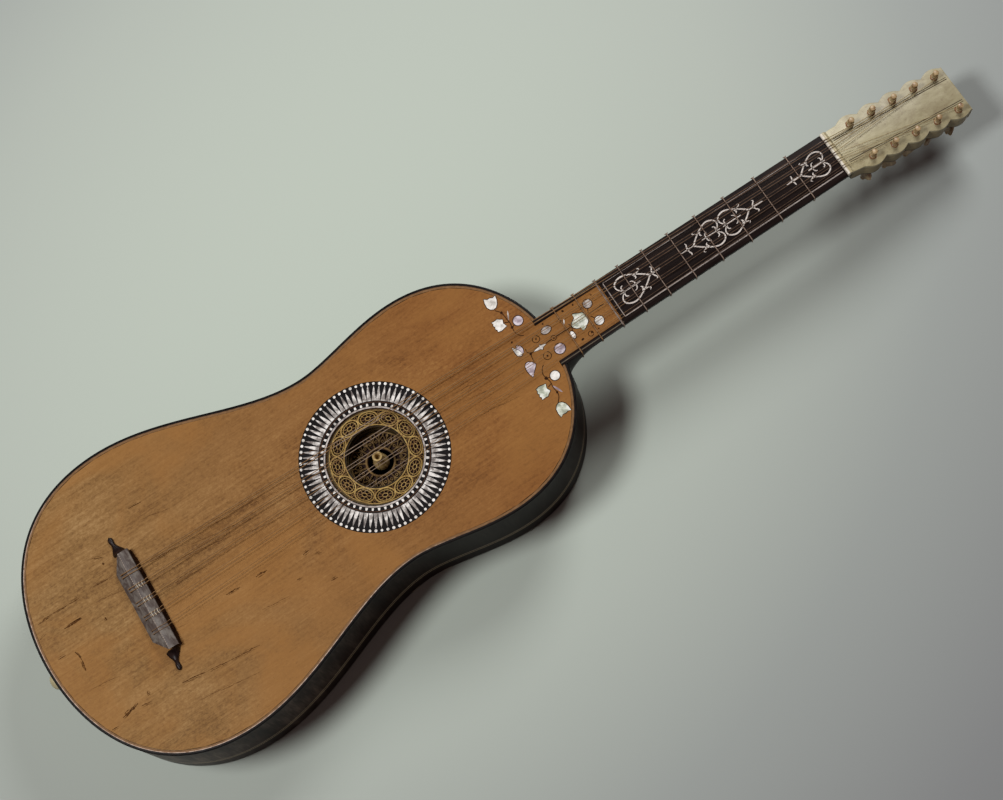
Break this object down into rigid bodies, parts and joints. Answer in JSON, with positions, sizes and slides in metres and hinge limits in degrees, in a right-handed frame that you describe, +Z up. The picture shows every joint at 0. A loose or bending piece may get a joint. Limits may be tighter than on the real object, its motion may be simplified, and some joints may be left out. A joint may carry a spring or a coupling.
{
  "type": "baroque guitar",
  "caption": "Waisted plucked instrument with double gut courses, sunk parchment rose, ringed soundhole, tied frets, low tie bridge and a scalloped head with turned pegs set from behind",
  "frame": {"origin": "on the flat outer face of the back, straight below the centre of the rose", "axes": "+Z up out of the belly, +Y from the tail to the peghead, +X to the treble side"},
  "size_m": [0.2822, 0.9378, 0.0961],
  "materials": {
    "spruce": "aged varnish",
    "dark_wood": "satin",
    "pine": "raw",
    "inlay": "polished inlay in dark filler",
    "parchment": "gilt parchment",
    "ivory": "aged bone",
    "gut": "gut",
    "peg_wood": "worn"
  },
  "bodies": {
    "instrument": {"rib_bass": "dark_wood", "rib_treble": "dark_wood", "back": "dark_wood", "belly_binding": "dark_wood", "neck": "dark_wood", "fingerboard": "dark_wood", "tongue_strip_bass": "dark_wood", "tongue_strip_treble": "dark_wood", "peghead": "dark_wood", "bridge": "dark_wood", "bridge_finial_bass": "dark_wood", "bridge_finial_treble": "dark_wood", "belly": "spruce", "neck_block": "pine", "tail_block": "pine", "belly_lining_bass": "pine", "belly_lining_treble": "pine", "belly_bar_upper": "pine", "belly_bar_middle": "pine", "belly_bar_lower": "pine", "back_bar_upper": "pine", "back_bar_lower": "pine", "rosette_ring": "inlay", "rose_upper_tier": "parchment", "rose_well": "parchment", "rose_lower_tier": "parchment", "rose_turret": "parchment", "nut": "ivory", "peghead_face": "ivory", "end_button": "ivory", "fret_09": "gut", "fret_10": "gut", "string_1a": "gut", "string_1b": "gut", "string_2a": "gut", "string_2b": "gut", "string_3a": "gut", "string_3b": "gut", "string_4a": "gut", "string_4b": "gut", "string_5a": "gut", "string_5b": "gut"},
    "tuner_1b": {"peg_1b": "peg_wood"},
    "tuner_1a": {"peg_1a": "peg_wood"},
    "tuner_2b": {"peg_2b": "peg_wood"},
    "tuner_2a": {"peg_2a": "peg_wood"},
    "tuner_3b": {"peg_3b": "peg_wood"},
    "tuner_5a": {"peg_5a": "peg_wood"},
    "tuner_5b": {"peg_5b": "peg_wood"},
    "tuner_4a": {"peg_4a": "peg_wood"},
    "tuner_4b": {"peg_4b": "peg_wood"},
    "tuner_3a": {"peg_3a": "peg_wood"},
    "tied_fret_01": {"fret_01": "gut"},
    "tied_fret_02": {"fret_02": "gut"},
    "tied_fret_03": {"fret_03": "gut"},
    "tied_fret_04": {"fret_04": "gut"},
    "tied_fret_05": {"fret_05": "gut"},
    "tied_fret_06": {"fret_06": "gut"},
    "tied_fret_07": {"fret_07": "gut"},
    "tied_fret_08": {"fret_08": "gut"}
  },
  "joints": [
    {"name": "turn_peg_1b", "type": "hinge", "parent": "instrument", "child": "tuner_1b", "pos_m": [0.0175, 0.49622, 0.08005], "axis": [0, 0.2588, 0.9659], "continuous": true},
    {"name": "turn_peg_1a", "type": "hinge", "parent": "instrument", "child": "tuner_1a", "pos_m": [0.01773, 0.51834, 0.07412], "axis": [0, 0.2588, 0.9659], "continuous": true},
    {"name": "turn_peg_2b", "type": "hinge", "parent": "instrument", "child": "tuner_2b", "pos_m": [0.01795, 0.54046, 0.06819], "axis": [0, 0.2588, 0.9659], "continuous": true},
    {"name": "turn_peg_2a", "type": "hinge", "parent": "instrument", "child": "tuner_2a", "pos_m": [0.01818, 0.56258, 0.06227], "axis": [0, 0.2588, 0.9659], "continuous": true},
    {"name": "turn_peg_3b", "type": "hinge", "parent": "instrument", "child": "tuner_3b", "pos_m": [0.0184, 0.5847, 0.05634], "axis": [0, 0.2588, 0.9659], "continuous": true},
    {"name": "turn_peg_5a", "type": "hinge", "parent": "instrument", "child": "tuner_5a", "pos_m": [-0.0175, 0.49622, 0.08005], "axis": [0, 0.2588, 0.9659], "continuous": true},
    {"name": "turn_peg_5b", "type": "hinge", "parent": "instrument", "child": "tuner_5b", "pos_m": [-0.01773, 0.51834, 0.07412], "axis": [0, 0.2588, 0.9659], "continuous": true},
    {"name": "turn_peg_4a", "type": "hinge", "parent": "instrument", "child": "tuner_4a", "pos_m": [-0.01795, 0.54046, 0.06819], "axis": [0, 0.2588, 0.9659], "continuous": true},
    {"name": "turn_peg_4b", "type": "hinge", "parent": "instrument", "child": "tuner_4b", "pos_m": [-0.01818, 0.56258, 0.06227], "axis": [0, 0.2588, 0.9659], "continuous": true},
    {"name": "turn_peg_3a", "type": "hinge", "parent": "instrument", "child": "tuner_3a", "pos_m": [-0.0184, 0.5847, 0.05634], "axis": [0, 0.2588, 0.9659], "continuous": true},
    {"name": "slide_fret_01", "type": "slide", "parent": "instrument", "child": "tied_fret_01", "axis": [0, 1, 0], "range_m": [-0.002, 0.002]},
    {"name": "slide_fret_02", "type": "slide", "parent": "instrument", "child": "tied_fret_02", "axis": [0, 1, 0], "range_m": [-0.002, 0.002]},
    {"name": "slide_fret_03", "type": "slide", "parent": "instrument", "child": "tied_fret_03", "axis": [0, 1, 0], "range_m": [-0.002, 0.002]},
    {"name": "slide_fret_04", "type": "slide", "parent": "instrument", "child": "tied_fret_04", "axis": [0, 1, 0], "range_m": [-0.002, 0.002]},
    {"name": "slide_fret_05", "type": "slide", "parent": "instrument", "child": "tied_fret_05", "axis": [0, 1, 0], "range_m": [-0.002, 0.002]},
    {"name": "slide_fret_06", "type": "slide", "parent": "instrument", "child": "tied_fret_06", "axis": [0, 1, 0], "range_m": [-0.002, 0.002]},
    {"name": "slide_fret_07", "type": "slide", "parent": "instrument", "child": "tied_fret_07", "axis": [0, 1, 0], "range_m": [-0.002, 0.002]},
    {"name": "slide_fret_08", "type": "slide", "parent": "instrument", "child": "tied_fret_08", "axis": [0, 1, 0], "range_m": [-0.002, 0.002]}
  ]
}
